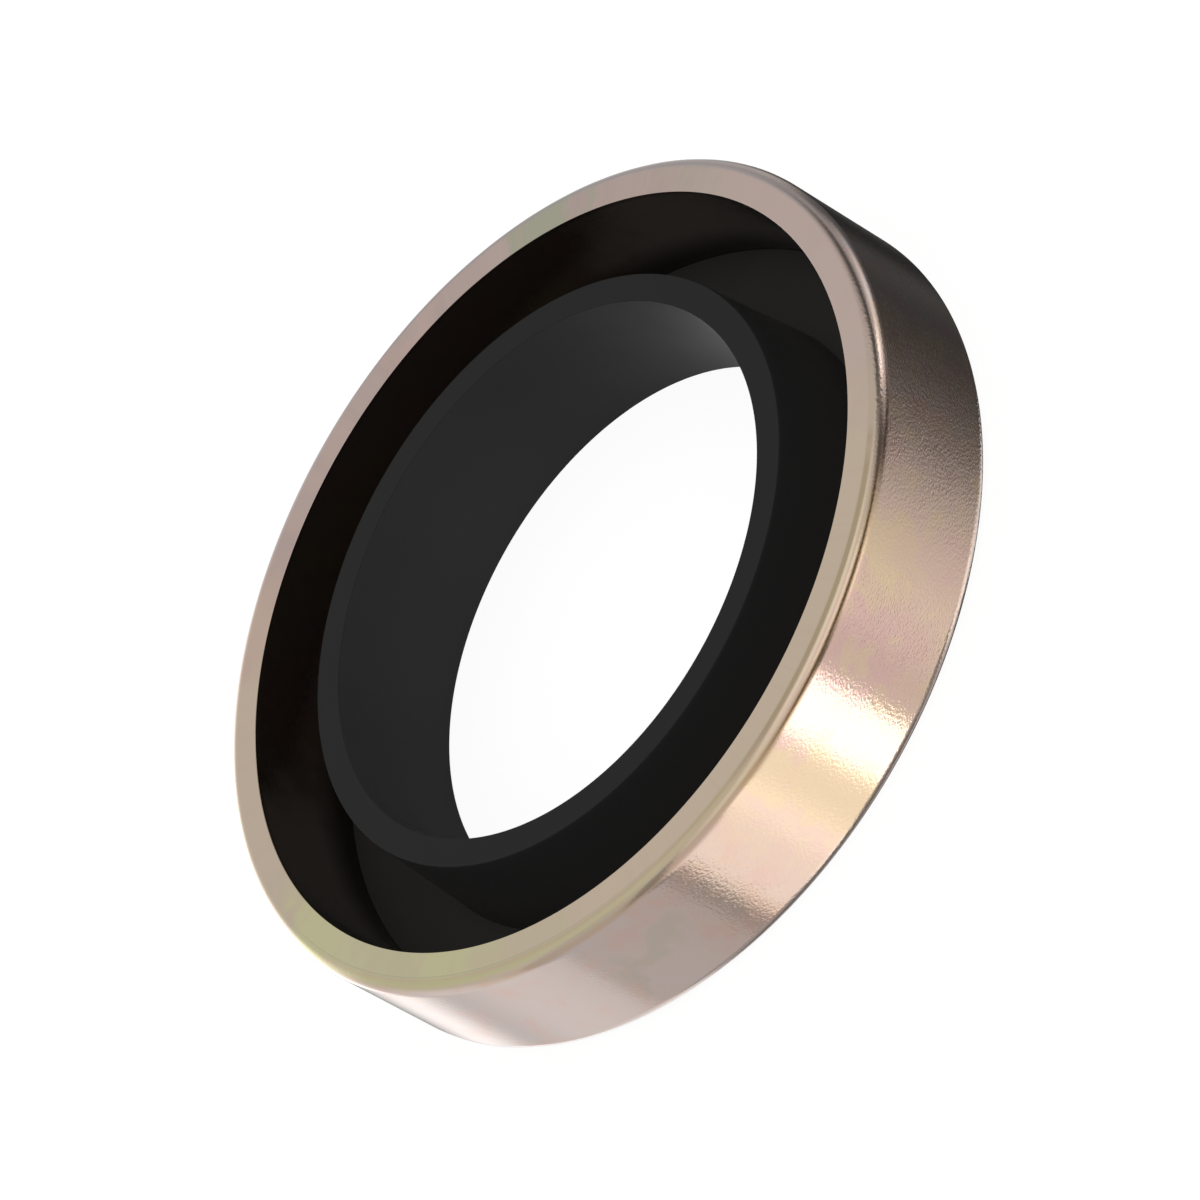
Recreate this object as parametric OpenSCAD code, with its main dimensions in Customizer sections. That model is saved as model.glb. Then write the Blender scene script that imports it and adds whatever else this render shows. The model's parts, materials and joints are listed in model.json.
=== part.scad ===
// Radial shaft seal: a zinc plated steel case with a springless rubber lip bonded into it.
// The seal lies on its back face, centred on the Z axis, and its open side looks up.

/* [Seal] */
// Diameter of the housing bore that the case is pressed into
housing_d = 40; // [38:0.5:60]
// Diameter of the shaft that the lip runs on
shaft_d = 26; // [18:0.5:28]
// Width of the seal along the shaft
seal_w = 7; // [4:0.5:12]

/* [Metal case] */
// Thickness of the cylindrical wall
case_wall = 1.82; // [1:0.02:2.4]
// Thickness of the flange that closes the back
flange_t = 0.6; // [0.4:0.05:1.2]
// Round on the outer edge of the front rim, the lead-in for pressing
rim_round = 0.65; // [0.1:0.05:0.9]
// Round on the outer edge of the back
back_round = 0.7; // [0.1:0.05:1.2]
// Round in the corner between the flange and the wall
corner_round = 0.3; // [0.1:0.05:0.35]

/* [Rubber lip] */
// How much smaller than the shaft the lip's free bore is, on the diameter
squeeze = 0.3; // [0.1:0.05:0.6]
// Thickness of the lip at its free front edge
lip_t = 1.32; // [0.8:0.02:1.8]
// Thickness of the lip at its root, where it leaves the floor of the recess
root_t = 1.85; // [1.2:0.05:2.6]
// Thickness of the rubber skin that covers the flange inside the case
skin_t = 0.4; // [0.4:0.05:1]
// Rubber between the lip's root and the flange's inner edge
edge_cover = 0.5; // [0.2:0.05:1]

/* [Hidden] */

case_r = housing_d / 2;
recess_r = case_r - case_wall;
bore_r = (shaft_d - squeeze) / 2;
lip_r = bore_r + lip_t;
root_r = bore_r + root_t;
flange_r = root_r + edge_cover;
floor_z = flange_t + skin_t;

case_colour = [0.73, 0.66, 0.57];
rubber_colour = [0.14, 0.14, 0.14];
$fn = 144;

// What a round takes off a square corner; out_r and out_z are 1 or -1 and point out of the solid
module corner_waste(corner, radius, out_r, out_z) {
    translate(corner - [out_r, out_z] * radius)
        difference() {
            translate([out_r, out_z] * radius)
                square(2 * radius, center = true);
            circle(radius);
        }
}

// What a round adds in the corner between the flange and the wall
module corner_fill(corner, radius) {
    translate(corner - [radius, 0])
        difference() {
            square(radius);
            translate([0, radius])
                circle(radius);
        }
}

// L-shaped section: the pressed outer wall and the flange that carries the lip
module case_section() {
    difference() {
        union() {
            translate([recess_r, 0])
                square([case_wall, seal_w]);
            translate([flange_r, 0])
                square([case_r - flange_r, flange_t]);
            corner_fill([recess_r, flange_t], corner_round);
        }
        corner_waste([case_r, seal_w], rim_round, 1, 1);
        corner_waste([case_r, 0], back_round, 1, -1);
    }
}

// Sleeve with a plain bore, tapered outside, and the skin that grips the flange and lies on it
module lip_section() {
    difference() {
        polygon([
            [bore_r, 0],
            [flange_r, 0],
            [flange_r, flange_t],
            [recess_r, flange_t],
            [recess_r, floor_z],
            [root_r, floor_z],
            [lip_r, seal_w],
            [bore_r, seal_w],
        ]);
        corner_waste([recess_r, flange_t], corner_round, 1, -1);
    }
}

module metal_case() {
    color(case_colour)
        rotate_extrude()
            case_section();
}

module rubber_lip() {
    color(rubber_colour)
        rotate_extrude()
            lip_section();
}

metal_case();
rubber_lip();
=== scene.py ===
import json
import math

import bpy
from mathutils import Matrix, Vector


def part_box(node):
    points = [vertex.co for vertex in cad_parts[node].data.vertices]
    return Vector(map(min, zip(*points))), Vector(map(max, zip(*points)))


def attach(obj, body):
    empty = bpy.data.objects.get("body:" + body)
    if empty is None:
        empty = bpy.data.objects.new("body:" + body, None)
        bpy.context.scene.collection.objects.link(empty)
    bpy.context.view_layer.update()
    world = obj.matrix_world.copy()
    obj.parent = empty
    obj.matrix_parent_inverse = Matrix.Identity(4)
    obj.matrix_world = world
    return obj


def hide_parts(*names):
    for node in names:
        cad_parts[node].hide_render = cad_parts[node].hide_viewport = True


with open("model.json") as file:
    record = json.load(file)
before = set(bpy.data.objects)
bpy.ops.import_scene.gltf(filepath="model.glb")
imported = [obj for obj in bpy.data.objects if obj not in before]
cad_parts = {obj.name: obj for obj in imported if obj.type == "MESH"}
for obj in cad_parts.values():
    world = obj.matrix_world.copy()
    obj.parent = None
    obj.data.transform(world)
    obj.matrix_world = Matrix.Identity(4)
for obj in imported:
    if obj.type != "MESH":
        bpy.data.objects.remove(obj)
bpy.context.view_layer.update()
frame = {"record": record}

MM = 0.001

# Sizes of the seal, in metres. The outer ones come from the frame, the others repeat the CAD model's section.
case_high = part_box("metal_case")[1]
lip_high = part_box("rubber_lip")[1]
mounts = {mount["name"]: mount for mount in frame["record"]["mounts"]}
case_r = case_high.x
seal_w = case_high.z
recess_r = lip_high.x
bore_r = mounts["shaft_bore"]["dims"]["r_mm"] * MM
flange_t = 0.6 * MM
floor_z = flange_t + 0.4 * MM
lip_r = bore_r + 1.32 * MM
root_r = bore_r + 1.85 * MM
flange_r = root_r + 0.5 * MM
rim_round = 0.65 * MM
back_round = 0.7 * MM
corner_round = 0.3 * MM
# Edges that are sharp in the section are broken this much, as on the real pieces
metal_edge = 0.03 * MM
rubber_edge = 0.02 * MM


class Value:
    """A number socket that takes part in Python arithmetic by adding Math nodes."""

    def __init__(self, graph, socket):
        self.graph = graph
        self.socket = socket

    def maths(self, operation, *values):
        inputs = dict(enumerate(values))
        node = self.graph.node("ShaderNodeMath", {"operation": operation}, inputs)
        return self.graph.value(node.outputs[0])

    def __add__(self, other):
        return self.maths("ADD", self, other)

    def __radd__(self, other):
        return self.maths("ADD", other, self)

    def __sub__(self, other):
        return self.maths("SUBTRACT", self, other)

    def __rsub__(self, other):
        return self.maths("SUBTRACT", other, self)

    def __mul__(self, other):
        return self.maths("MULTIPLY", self, other)

    def __rmul__(self, other):
        return self.maths("MULTIPLY", other, self)

    def __abs__(self):
        return self.maths("ABSOLUTE", self)


class Graph:
    """A node tree that is filled node by node."""

    def __init__(self, tree):
        self.tree = tree
        tree.nodes.clear()

    def node(self, kind, settings=None, inputs=None):
        node = self.tree.nodes.new(kind)
        for name, setting in (settings or {}).items():
            setattr(node, name, setting)
        for name, given in (inputs or {}).items():
            if isinstance(given, Value):
                given = given.socket
            if isinstance(given, bpy.types.NodeSocket):
                self.tree.links.new(given, node.inputs[name])
            else:
                node.inputs[name].default_value = given
        return node

    def value(self, socket):
        return Value(self, socket)

    def noise(self, place, size, detail=2.0, roughness=0.5):
        """Soft noise from 0 to 1 whose lumps are about size metres across."""
        node = self.node(
            "ShaderNodeTexNoise",
            None,
            {"Vector": place, "Scale": 1 / size, "Detail": detail, "Roughness": roughness},
        )
        return self.value(node.outputs["Fac"])

    def fade(self, given, start, end, low=0.0, high=1.0):
        """Runs smoothly from low to high as given goes from start to end."""
        node = self.node(
            "ShaderNodeMapRange",
            {"interpolation_type": "SMOOTHSTEP"},
            {"Value": given, "From Min": start, "From Max": end, "To Min": low, "To Max": high},
        )
        return self.value(node.outputs["Result"])

    def blend(self, share, first, second):
        """The first colour at share 0 and the second at share 1."""
        node = self.node(
            "ShaderNodeMix",
            {"data_type": "RGBA"},
            {"Factor": share, 6: first, 7: second},
        )
        return node.outputs[2]

    def parts(self, vector):
        node = self.node("ShaderNodeSeparateXYZ", None, {0: vector})
        return [self.value(socket) for socket in node.outputs]

    def near(self, distance, half_width, softness):
        """1 within half_width of the middle, and 0 beyond it, with an edge as wide as softness."""
        return self.fade(abs(distance), half_width - softness / 2, half_width + softness / 2, 1.0, 0.0)

    def side(self, azimuth, middle, half_width, softness):
        """1 within half_width degrees of the middle, and 0 beyond it. The azimuth is in radians."""
        turned = azimuth.maths("WRAP", azimuth - math.radians(middle), math.pi, -math.pi)
        return self.near(turned, math.radians(half_width), math.radians(softness))


def material_graph(name):
    material = bpy.data.materials.new(name)
    material.use_nodes = True
    return material, Graph(material.node_tree)


def grey(level):
    return (level, level, level, 1)


# Tints of the passivation film, as linear colours, and the colours of painted shade and painted reflection in
# the recess
TAUPE = (0.58, 0.46, 0.41, 1)
MAUVE = (0.46, 0.368, 0.333, 1)
SALMON = (0.61, 0.44, 0.35, 1)
BLUSH = (0.61, 0.41, 0.36, 1)
CREAM = (0.62, 0.475, 0.32, 1)
SAND = (0.61, 0.50, 0.38, 1)
OLIVE = (0.585, 0.555, 0.335, 1)
SAGE = (0.415, 0.402, 0.305, 1)
LIME = (0.53, 0.515, 0.30, 1)
ROSE = (0.62, 0.43, 0.38, 1)
STONE = (0.53, 0.468, 0.455, 1)
BRASS = (0.55, 0.48, 0.27, 1)
BRONZE = (0.54, 0.37, 0.22, 1)
KHAKI = (0.45, 0.34, 0.235, 1)
PEWTER = (0.50, 0.46, 0.46, 1)
# Painted shade for the wall of the recess near its floor
PAINTED_RECESS_SHADE = (0.08, 0.075, 0.07, 1)
# Pale film on the back edge, and painted reflection on two sides of the recess wall
PEARL = (0.85, 0.75, 0.70, 1)

# Tints of the rubber, as linear colours. The pairs are the dark and the light of a mottle. The front face is
# darkened with painted shade, and the bore deep in, the taper's root and the recess floor are lightened with
# painted light.
# Painted shade: the front face, darker than the bore
FRONT_PAINTED_SHADE = (grey(0.0135), grey(0.0155))
MOULDED = (grey(0.0235), grey(0.0275))
# Painted light: the bore, lighter deeper in
BORE_PAINTED_LIGHT = grey(0.034)
TAPER_TOP = grey(0.0165)
# Painted light: the taper's root and the recess floor, lighter than the taper's top
TAPER_ROOT_PAINTED_LIGHT = (0.050, 0.049, 0.048, 1)
RECESS_FLOOR_PAINTED_LIGHT = (0.0295, 0.0285, 0.026, 1)

# Where the film differs on the wall and on the rim: the middle's azimuth and the half width along the edge in
# degrees, the middle's height and the half height in mm, the tint and how much of it.
WALL_PATCHES = (
    (-88, 34, 3.5, 9.0, SALMON, 0.9),
    (-69, 5, 5.4, 1.9, CREAM, 0.9),
    (-79, 5, 4.6, 2.6, BLUSH, 1.0),
    (-97, 5, 3.5, 9.0, CREAM, 1.0),
    (-141, 27, 3.5, 9.0, STONE, 0.45),
    (-127, 5, 3.6, 1.1, SAGE, 0.3),
    (-18, 12, 3.5, 9.0, STONE, 0.9),
    (50, 22, 3.5, 9.0, SALMON, 0.6),
    (96, 13, 3.0, 3.0, CREAM, 0.7),
    (128, 9, 4.5, 3.0, BLUSH, 0.6),
)
RIM_PATCHES = (
    (-94, 58, 7.0, 9.0, SAND, 1.0),
    (145, 27, 7.0, 9.0, SAND, 0.8),
    (196, 24, 7.0, 9.0, OLIVE, 0.75),
    (206, 6, 7.0, 9.0, OLIVE, 1.0),
    (178, 8, 7.0, 9.0, OLIVE, 0.95),
    (115, 10, 7.0, 9.0, SALMON, 0.45),
    (46, 7, 7.0, 9.0, SAGE, 1.0),
    (13, 4, 7.0, 9.0, SAGE, 0.4),
    (-14, 28, 7.0, 9.0, TAUPE, 0.7),
    (94, 7, 7.0, 9.0, ROSE, 0.15),
    (70, 4, 7.0, 9.0, ROSE, 0.3),
)


def patched(graph, tint, patches, azimuth, height):
    """Lays the patches over the tint, one after another, with soft edges."""
    for turn, half_turn, middle, half_height, colour, share in patches:
        along = graph.side(azimuth, turn, half_turn, half_turn)
        up = graph.near(height - middle * MM, half_height * MM, half_height * MM)
        tint = graph.blend(along * up * share, tint, colour)
    return tint


class CaseSpot:
    """Where a point lies on the case, and how unevenly the film dried there."""

    def __init__(self, graph):
        self.place = graph.node("ShaderNodeTexCoord").outputs["Object"]
        x, y, self.height = graph.parts(self.place)
        flat = graph.node("ShaderNodeVectorMath", {"operation": "MULTIPLY"}, {0: self.place, 1: (1, 1, 0)})
        span = graph.node("ShaderNodeVectorMath", {"operation": "LENGTH"}, {0: flat.outputs[0]})
        self.radius = graph.value(span.outputs["Value"])
        # The film dried in streaks, which run down the wall and inward over the rim
        outward = graph.node("ShaderNodeVectorMath", {"operation": "NORMALIZE"}, {0: flat.outputs[0]})
        side_x, side_y, _ = graph.parts(outward.outputs[0])
        broad = graph.node("ShaderNodeCombineXYZ", None, {0: side_x, 1: side_y, 2: self.height * 18})
        narrow = graph.node("ShaderNodeCombineXYZ", None, {0: side_x, 1: side_y, 2: self.height * 3})
        self.drift = graph.noise(broad.outputs[0], 0.11, 3.0)
        self.streak = graph.noise(narrow.outputs[0], 0.02, 4.0, 0.65)
        self.cloud = graph.noise(self.place, 1.7 * MM, 2.5, 0.5)
        # The azimuth and the height, moved about so that no patch of film has an even edge
        self.turn = x.maths("ARCTAN2", y, x) + (self.cloud - 0.5) * 0.4 + (self.drift - 0.5) * 0.25
        self.level = self.height + (self.drift - 0.5) * (7 * MM) + (self.cloud - 0.5) * (6 * MM)
        # 1 on the wall of the recess, and 0 on the outside, the rim and the back
        inner = graph.fade(self.radius, recess_r + 0.3 * MM, recess_r + 0.1 * MM)
        self.inside = inner * graph.fade(self.height, flange_t * 0.2, flange_t * 0.6)


def wall_film(graph, spot):
    """The film on the outer wall, the back and the wall of the recess, with painted shade and painted reflection
    in the recess.
    """
    tint = graph.blend(graph.fade(spot.cloud, 0.42, 0.6, 0.0, 0.55), TAUPE, SALMON)
    tint = patched(graph, tint, WALL_PATCHES, spot.turn, spot.level)
    golden = 1.0 - graph.side(spot.turn, -137, 25, 20) * 0.8
    tint = graph.blend(graph.fade(spot.cloud, 0.52, 0.66, 0.0, 0.45), tint, BLUSH)
    tint = graph.blend(golden * graph.fade(spot.cloud, 0.46, 0.36, 0.0, 0.45), tint, CREAM)
    tint = graph.blend(golden * graph.fade(spot.drift, 0.54, 0.62, 0.0, 0.3), tint, CREAM)
    # A bronze line runs low on the rim's round, strong on one side and weaker beside it
    low_round_line = graph.near(spot.height - (seal_w - rim_round * 0.6), rim_round * 0.2, rim_round * 0.2)
    strong = graph.side(spot.turn, -80, 24, 16)
    weak = graph.side(spot.turn, -130, 20, 16)
    tint = graph.blend(low_round_line * (strong + weak * 0.6) * 0.85, tint, BRONZE)
    # It is thin and pale on the rounded back edge
    low = graph.fade(spot.height, back_round * 1.1, back_round * 0.5)
    outer = graph.fade(spot.radius, case_r - back_round * 1.4, case_r - back_round * 0.4)
    tint = graph.blend(low * outer * 0.6, tint, PEARL)
    # In the recess, painted reflection makes the wall pale on two sides, and painted shade darkens it towards
    # the floor
    # Painted reflection: two sides of the recess wall are made pale
    for pale_side in (24, 158):
        tint = graph.blend(spot.inside * graph.side(spot.turn, pale_side, 18, 14), tint, PEARL)
    # Painted shade: the recess wall darkens towards the floor
    recess_shading = graph.fade(spot.height, floor_z + 2.6 * MM, floor_z + 0.4 * MM, 0.0, 0.85)
    return graph.blend(spot.inside * recess_shading, tint, PAINTED_RECESS_SHADE)


def rim_film(graph, spot):
    """The film on the flat rim and over its rounded outer edge."""
    tint = graph.blend(graph.fade(spot.drift, 0.3, 0.7, 0.1, 0.5), MAUVE, TAUPE)
    tint = patched(graph, tint, RIM_PATCHES, spot.turn + (spot.streak - 0.5) * 0.1, spot.level)
    tint = graph.blend(graph.fade(spot.streak, 0.36, 0.52, 0.16, 0.0), tint, BLUSH)
    # It is thicker on the round, in a narrow line near the flat and in a band over the whole round
    line = graph.near(spot.radius - (case_r - rim_round * 0.67), rim_round * 0.2, rim_round * 0.15)
    band = graph.near(spot.radius - (case_r - rim_round * 0.5), rim_round * 0.4, rim_round * 0.2)
    tint = graph.blend(line * graph.side(spot.turn, -84, 25, 14) * 0.8, tint, BRASS)
    tint = graph.blend(band * graph.side(spot.turn, -137, 38, 14) * 0.5, tint, BRASS)
    tint = graph.blend(band * graph.side(spot.turn, 49, 60, 20) * 0.6, tint, PEWTER)
    # Its colours run along the round in fine rings
    across = graph.node(
        "ShaderNodeCombineXYZ",
        None,
        {0: spot.radius, 1: spot.height, 2: spot.turn * (0.25 * MM)},
    )
    ring = graph.noise(across.outputs[0], 0.12 * MM, 2.0)
    lime_rings = graph.side(spot.turn, -150, 52, 16) * graph.fade(ring, 0.40, 0.52, 0.45, 0.0)
    rose_rings = graph.side(spot.turn, -135, 62, 30) * graph.fade(ring, 0.52, 0.64, 0.0, 0.5)
    tint = graph.blend(band * lime_rings, tint, LIME)
    tint = graph.blend(band * rose_rings, tint, ROSE)
    tint = graph.blend(line * graph.side(spot.turn, -76, 22, 14) * 0.7, tint, KHAKI)
    # A hair line marks where the flat ends
    hair_line = graph.near(spot.radius - (case_r - rim_round), 0.03 * MM, 0.03 * MM)
    return graph.blend(hair_line * graph.side(spot.turn, -151, 35, 20) * 0.4, tint, SAGE)


def orange_peel(graph, spot):
    """The plating's fine bumps, shorter along the axis than round it, and not equally strong on all sides."""
    drawn = graph.node("ShaderNodeVectorMath", {"operation": "MULTIPLY"}, {0: spot.place, 1: (1, 1, 1.9)})
    peel = graph.noise(drawn.outputs[0], 0.15 * MM, 1.5)
    strength = 1.0 + graph.side(spot.turn, -43, 11, 12) * 0.8
    strength = strength - graph.side(spot.turn, -98, 32, 16) * 0.42
    strength = strength - graph.side(spot.turn, -150, 24, 16) * 0.62
    burnished = graph.fade(spot.height, seal_w - rim_round * 1.2, seal_w - rim_round * 0.9, 1.0, 0.4)
    smooth = 1.0 - spot.inside * 0.6
    bump = graph.node(
        "ShaderNodeBump",
        None,
        {"Height": peel * strength * burnished * smooth, "Strength": 0.6, "Distance": 0.0205 * MM},
    )
    return bump.outputs["Normal"]


def passivated_steel():
    """Zinc plate with a fine orange peel, under a film that drifts between mauve, salmon, cream and green, with
    painted shade and painted reflection on the wall of the recess.
    """
    material, graph = material_graph("passivated_steel")
    spot = CaseSpot(graph)
    on_rim = graph.fade(spot.height, seal_w - rim_round * 0.6, seal_w - rim_round * 0.1)
    shader = graph.node(
        "ShaderNodeBsdfPrincipled",
        None,
        {
            "Base Color": graph.blend(on_rim, wall_film(graph, spot), rim_film(graph, spot)),
            "Metallic": 1.0,
            "Roughness": graph.fade(spot.cloud, 0.3, 0.7, 0.09, 0.125),
            "Normal": orange_peel(graph, spot),
        },
    )
    graph.node("ShaderNodeOutputMaterial", None, {"Surface": shader.outputs[0]})
    return material


def moulded_rubber():
    """Black rubber, matt from the mould, with painted shade darkening the front face, and painted light that
    lightens the bore deeper in and the recess towards its floor.
    """
    material, graph = material_graph("moulded_rubber")
    place = graph.node("ShaderNodeTexCoord").outputs["Object"]
    x, y, height = graph.parts(place)
    flat = graph.node("ShaderNodeCombineXYZ", None, {0: x, 1: y})
    span = graph.node("ShaderNodeVectorMath", {"operation": "LENGTH"}, {0: flat.outputs[0]})
    radius = span.outputs["Value"]
    mottle = graph.noise(place, 4.0 * MM, 3.0)
    grain = graph.noise(place, 0.10 * MM, 2.0)
    bump = graph.node(
        "ShaderNodeBump",
        None,
        {"Height": grain, "Strength": 0.1, "Distance": 0.01 * MM},
    )
    bore = graph.blend(mottle, *MOULDED)
    # Painted light: the bore gets lighter deeper in, where shade falls
    bore = graph.blend(graph.fade(height, seal_w, 0.0), bore, BORE_PAINTED_LIGHT)
    # Painted shade: the front face is darker than the bore
    front = graph.fade(height, seal_w - 0.03 * MM, seal_w - 0.005 * MM)
    black = graph.blend(front, bore, graph.blend(mottle, *FRONT_PAINTED_SHADE))
    # Painted light: the taper gets lighter towards its root and the recess floor is lighter than its top, where
    # shade falls in the recess
    recess = graph.blend(graph.fade(height, seal_w, floor_z), TAPER_TOP, TAPER_ROOT_PAINTED_LIGHT)
    on_floor = graph.fade(height, floor_z + 0.06 * MM, floor_z + 0.02 * MM)
    recess = graph.blend(on_floor, recess, RECESS_FLOOR_PAINTED_LIGHT)
    outside = graph.fade(radius, lip_r - 0.02 * MM, lip_r + 0.02 * MM)
    outside = outside * graph.fade(height, flange_t * 0.2, flange_t * 0.6)
    shader = graph.node(
        "ShaderNodeBsdfPrincipled",
        None,
        {
            "Base Color": graph.blend(outside, black, recess),
            "Roughness": graph.fade(mottle, 0.3, 0.7, 0.44, 0.50),
            "Specular IOR Level": 0.06,
            "Normal": bump.outputs["Normal"],
        },
    )
    graph.node("ShaderNodeOutputMaterial", None, {"Surface": shader.outputs[0]})
    return material


def revolve_tree():
    """Geometry Nodes: rounds the corners of a closed outline and revolves it about the Z axis."""
    tree = bpy.data.node_groups.new("revolved_section", "GeometryNodeTree")
    graph = Graph(tree)
    for name, kind in (
        ("Outline", "NodeSocketGeometry"),
        ("Segments", "NodeSocketInt"),
        ("Steps in a round", "NodeSocketInt"),
        ("Sweep radius", "NodeSocketFloat"),
        ("Finish", "NodeSocketMaterial"),
    ):
        tree.interface.new_socket(name, in_out="INPUT", socket_type=kind)
    tree.interface.new_socket("Ring", in_out="OUTPUT", socket_type="NodeSocketGeometry")
    given = graph.node("NodeGroupInput").outputs
    outline = graph.node("GeometryNodeMeshToCurve", None, {"Mesh": given["Outline"]})
    corner = graph.node("GeometryNodeInputNamedAttribute", {"data_type": "FLOAT"}, {"Name": "round"})
    rounded = graph.node(
        "GeometryNodeFilletCurve",
        {"mode": "POLY"},
        {
            "Curve": outline.outputs[0],
            "Radius": corner.outputs[0],
            "Count": given["Steps in a round"],
        },
    )
    path = graph.node(
        "GeometryNodeCurvePrimitiveCircle",
        None,
        {"Resolution": given["Segments"], "Radius": given["Sweep radius"]},
    )
    ring = graph.node(
        "GeometryNodeCurveToMesh",
        None,
        {"Curve": path.outputs[0], "Profile Curve": rounded.outputs[0]},
    )
    smooth = graph.node("GeometryNodeSetShadeSmooth", None, {"Geometry": ring.outputs[0]})
    real = graph.node("GeometryNodeRealizeInstances", None, {"Geometry": smooth.outputs[0]})
    finished = graph.node(
        "GeometryNodeSetMaterial",
        None,
        {"Geometry": real.outputs[0], "Material": given["Finish"]},
    )
    graph.node("NodeGroupOutput", None, {"Ring": finished.outputs[0]})
    return tree


# How finely the rings are made: faces round the axis, steps in each rounded corner, and how far beyond a
# round the plain point lies that keeps the next face flat
SEGMENTS = 360
ROUND_STEPS = 9
REST = 0.015 * MM
# The sections are swept along a circle of this radius, and each lies as far from it as its piece needs
SWEEP_R = 10 * MM


def with_rests(corners):
    """Adds a plain point on each side of every corner's round, so that the faces between them shade flat."""
    points = []
    for i, (r, z, radius) in enumerate(corners):
        here = Vector((r, z))
        for other in (corners[i - 1], corners[(i + 1) % len(corners)]):
            way = (Vector(other[:2]) - here).normalized()
            points.append((*(here + way * (radius + REST)), 0.0))
            if other is corners[i - 1]:
                points.append((r, z, radius))
    return points


def revolved_piece(name, corners, tree, finish):
    """A ring of the given section. Corners are (radius, height, round), anticlockwise in that plane."""
    points = with_rests(corners)
    outline = bpy.data.meshes.new(name + "_outline")
    count = len(points)
    outline.from_pydata(
        [(r - SWEEP_R, -z, 0) for r, z, _ in reversed(points)],
        [(i, (i + 1) % count) for i in range(count)],
        [],
    )
    rounds = outline.attributes.new("round", "FLOAT", "POINT")
    rounds.data.foreach_set("value", [radius for _, _, radius in reversed(points)])
    draft = bpy.data.objects.new(name + "_draft", outline)
    bpy.context.scene.collection.objects.link(draft)
    modifier = draft.modifiers.new("revolve", "NODES")
    modifier.node_group = tree
    sockets = {item.name: item.identifier for item in tree.interface.items_tree}
    modifier[sockets["Segments"]] = SEGMENTS
    modifier[sockets["Steps in a round"]] = ROUND_STEPS
    modifier[sockets["Sweep radius"]] = SWEEP_R
    modifier[sockets["Finish"]] = finish
    bpy.context.view_layer.update()
    evaluated = draft.evaluated_get(bpy.context.evaluated_depsgraph_get())
    mesh = bpy.data.meshes.new_from_object(evaluated)
    mesh.name = name
    piece = bpy.data.objects.new(name, mesh)
    bpy.context.scene.collection.objects.link(piece)
    bpy.data.objects.remove(draft)
    return piece


def case_corners():
    return [
        (flange_r, 0, metal_edge),
        (case_r, 0, back_round),
        (case_r, seal_w, rim_round),
        (recess_r, seal_w, metal_edge),
        (recess_r, flange_t, corner_round),
        (flange_r, flange_t, metal_edge),
    ]


def lip_corners():
    return [
        (bore_r, 0, rubber_edge),
        (flange_r, 0, rubber_edge),
        (flange_r, flange_t, rubber_edge),
        (recess_r, flange_t, corner_round),
        (recess_r, floor_z, rubber_edge),
        (root_r, floor_z, rubber_edge),
        (lip_r, seal_w, rubber_edge),
        (bore_r, seal_w, rubber_edge),
    ]


# How bright the studio is for matt surfaces
SOFT_LEVEL = 1.0
# How bright its bare walls are in the metal, low down and high up
LOW_WALLS = 0.95
HIGH_WALLS = 0.80

# The floor reaches this far to each side. The camera sees it mostly as a plain glow, and the rest is its shadow.
FLOOR_REACH = 2.0
FLOOR_GLOW = 1.08
FLOOR_GLOW_SHARE = 0.84

# The camera looks down on the open side and is rolled, as the photograph shows the seal leaning
VIEW_ELEVATION = math.radians(36.344)
VIEW_ROLL = math.radians(60.167)
VIEW_DEPTH = 395.04 * MM
VIEW_LENS = 270.9
SENSOR_WIDTH = 36
RIM_CENTRE_IN_VIEW = (-2.4725 * MM, 1.4198 * MM)


def make_camera():
    tilt = Matrix.Rotation(math.pi / 2 - VIEW_ELEVATION, 4, "X")
    turn = tilt @ Matrix.Rotation(-VIEW_ROLL, 4, "Z")
    rim_centre = Vector((0, 0, seal_w))
    across, up = RIM_CENTRE_IN_VIEW
    data = bpy.data.cameras.new("camera")
    data.lens = VIEW_LENS
    data.sensor_width = SENSOR_WIDTH
    data.clip_start = 0.01
    data.clip_end = 50
    camera = bpy.data.objects.new("camera", data)
    place = Matrix.Translation(rim_centre - turn.to_3x3() @ Vector((across, up, -VIEW_DEPTH)))
    camera.matrix_world = place @ turn
    bpy.context.scene.collection.objects.link(camera)
    bpy.context.scene.camera = camera


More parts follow.
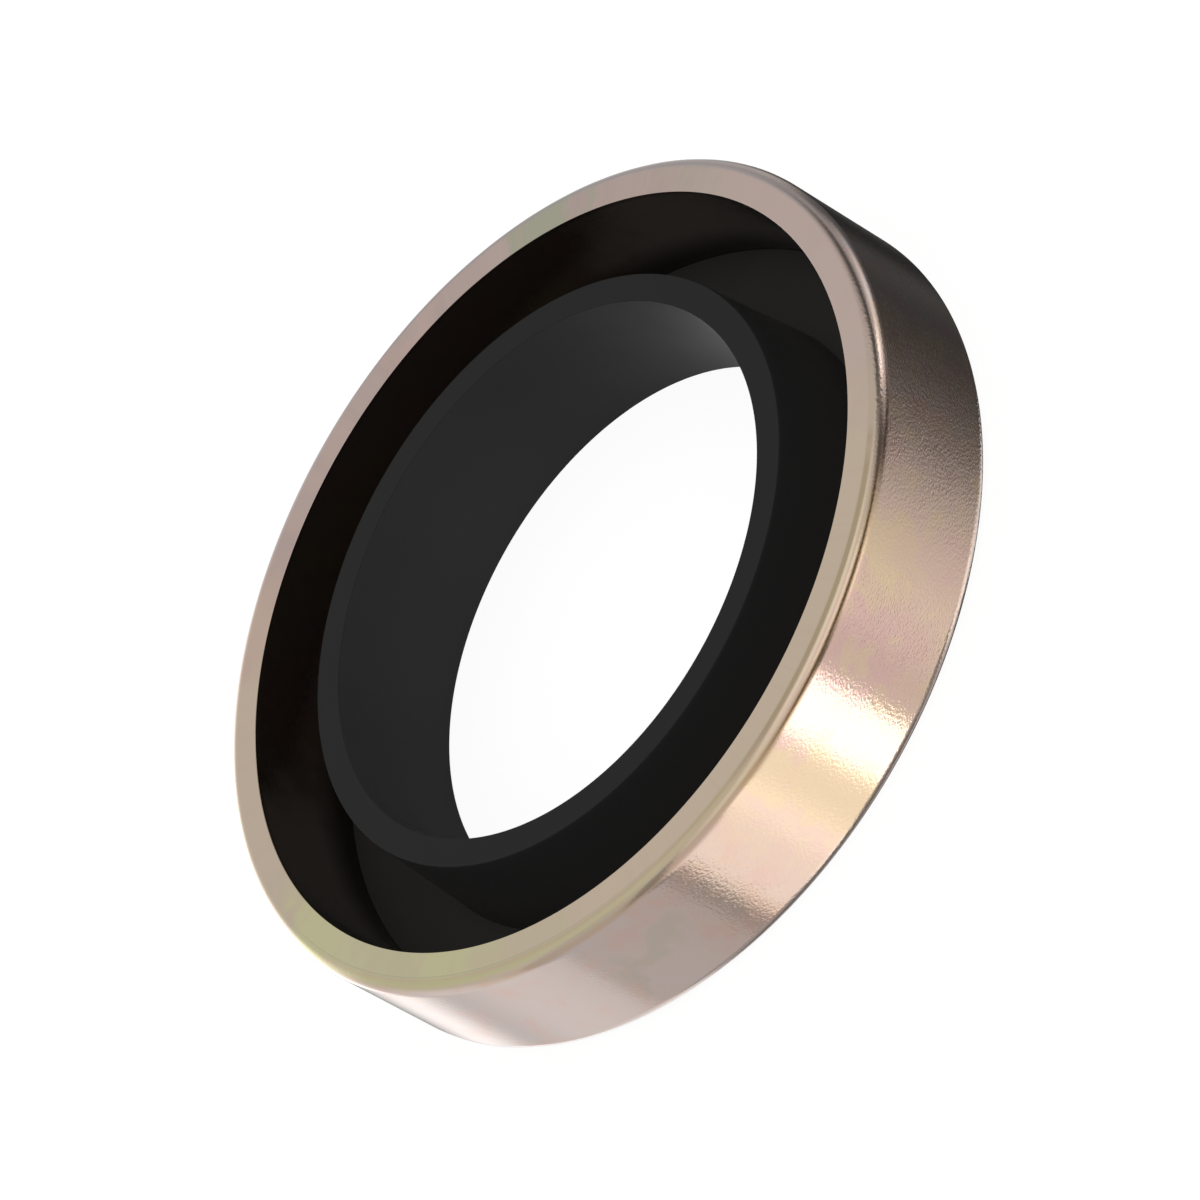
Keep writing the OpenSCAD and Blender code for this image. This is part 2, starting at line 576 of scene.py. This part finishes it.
# What the metal mirrors in the studio round the seal. Each panel has the azimuth of its middle and its half
# width, the elevation of its middle and its half height, how softly its sides and its ends fade, all in
# degrees, and how bright it is. Later panels stand before earlier ones.
PANELS = (
    ("far_wall", 50, 88, 72, 31, 53, 42, 0.72),
    ("ceiling", 273, 44, 45, 13, 24, 2, 0.98),
    ("top_lamp", 308, 54, 70, 13, 46, 27, 1.2),
    ("window", 243, 29, -49, 21, 3, 41, 1.54),
    ("grey_curtain", 201, 21, -3, 52, 2, 26, 0.70),
    ("window_post", 246.5, 4.5, -40, 30, 6, 30, 1.68),
    ("counter", 304, 9, -40, 22, 8, 16, 1.12),
    ("strip_light", 272.8, 8.0, -38, 26, 1.5, 38, 2.9),
    ("pale_wall", 160, 13, -36, 40, 16, 30, 1.03),
    ("curtain_gap", 192, 11, -37, 40, 12, 30, 0.72),
    ("curtain_edge", 218.5, 2.5, -37, 26, 2, 30, 0.4),
    ("side_light", 114.5, 12, -34, 42, 24, 42, 2.95),
    ("curtain_fold", 217, 6, 18, 20, 6, 10, 0.42),
    ("grey_screen", 33, 38, -17, 36, 37, 53, 0.13),
    ("black_screen", 56, 62, -52, 21, 87, 2, 0.06),
    ("screen_seam", 50, 5, -37, 10, 8, 10, 0.085),
    ("screen_edge", 66, 7, -38, 12, 6, 10, 0.02),
    ("dark_arch", 26, 38, 35, 9, 40, 15, 0.12),
    ("far_shelf", 79, 10, 2, 21, 6, 12, 0.6),
    ("far_sill", 62, 13, 0, 14, 14, 12, 0.6),
    ("dark_post", 343, 16, -1, 31, 24, 22, 0.03),
    ("lamp_bar", 7, 22, 2, 14, 30, 26, 1.1),
    ("small_lamp", 358, 6, 10, 8, 10, 8, 2.0),
    ("dark_slat", 305, 42, 10.5, 8, 30, 15, 0.13),
    ("shelf_lamp", 298, 17, 34, 8, 11, 4, 1.3),
    ("low_lamp", 305, 8, -14, 8, 12, 4, 1.6),
    ("dark_edge", 284, 6, -5, 14, 14, 18, 0.2),
    ("floor_glow", 18, 34, -60, 8, 20, 4, 0.9),
    ("floor_lamp", 332, 18, -58, 9.5, 12, 3, 1.4),
    ("carpet", 32, 80, -82, 9, 20, 8, 0.45),
    ("skirting", 202, 26, -54, 9, 14, 8, 0.45),
    ("door", 303, 10, -54, 11, 8, 8, 0.33),
    ("footboard", 270, 20, -64, 16, 12, 16, 0.4),
    ("floor_shade", 212, 105, -75, 14, 40, 10, 0.2),
)


def make_world():
    """White for the camera, plain for soft light, and the studio's panels for what the metal mirrors."""
    world = bpy.data.worlds.new("studio")
    bpy.context.scene.world = world
    world.use_nodes = True
    graph = Graph(world.node_tree)
    x, y, z = graph.parts(graph.node("ShaderNodeTexCoord").outputs["Generated"])
    azimuth = x.maths("ARCTAN2", y, x)
    elevation = z.maths("ARCSINE", z)
    bright = graph.fade(elevation, math.radians(-30), math.radians(20), LOW_WALLS, HIGH_WALLS)
    for _, turn, half_width, height, half_height, side_fade, end_fade, level in PANELS:
        side = graph.side(azimuth, turn, half_width, side_fade)
        end = graph.near(elevation - math.radians(height), math.radians(half_height), math.radians(end_fade))
        bright = bright + (level - bright) * (side * end)
    rays = graph.node("ShaderNodeLightPath").outputs
    mirrored = graph.value(rays["Is Glossy Ray"])
    seen = graph.value(rays["Is Camera Ray"])
    level = SOFT_LEVEL + (bright - SOFT_LEVEL) * mirrored
    level = level + (1.0 - level) * seen
    background = graph.node("ShaderNodeBackground", None, {"Color": (1, 1, 1, 1), "Strength": level})
    graph.node("ShaderNodeOutputWorld", None, {"Surface": background.outputs[0]})


def make_floor():
    """A white floor that takes the seal's soft shadow. The metal mirrors the studio and not the floor."""
    far = FLOOR_REACH
    corners = [(-far, -far, 0), (far, -far, 0), (far, far, 0), (-far, far, 0)]
    mesh = bpy.data.meshes.new("floor")
    mesh.from_pydata(corners, [], [(0, 1, 2, 3)])
    floor = bpy.data.objects.new("floor", mesh)
    bpy.context.scene.collection.objects.link(floor)
    material, graph = material_graph("white_floor")
    plain = graph.node("ShaderNodeBsdfDiffuse", None, {"Color": (0.8, 0.8, 0.8, 1)})
    glow = graph.node("ShaderNodeEmission", None, {"Strength": FLOOR_GLOW})
    rays = graph.node("ShaderNodeLightPath").outputs
    seen = graph.value(rays["Is Camera Ray"])
    surface = graph.node(
        "ShaderNodeMixShader",
        None,
        {0: seen * FLOOR_GLOW_SHARE, 1: plain.outputs[0], 2: glow.outputs[0]},
    )
    graph.node("ShaderNodeOutputMaterial", None, {"Surface": surface.outputs[0]})
    mesh.materials.append(material)
    floor.visible_glossy = False


scene = bpy.context.scene
scene.view_settings.view_transform = "Standard"
make_camera()
make_world()
make_floor()

tree = revolve_tree()
case = revolved_piece("case_ring", case_corners(), tree, passivated_steel())
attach(case, "root")
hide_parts("metal_case")

lip = revolved_piece("lip_ring", lip_corners(), tree, moulded_rubber())
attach(lip, "root")
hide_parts("rubber_lip")
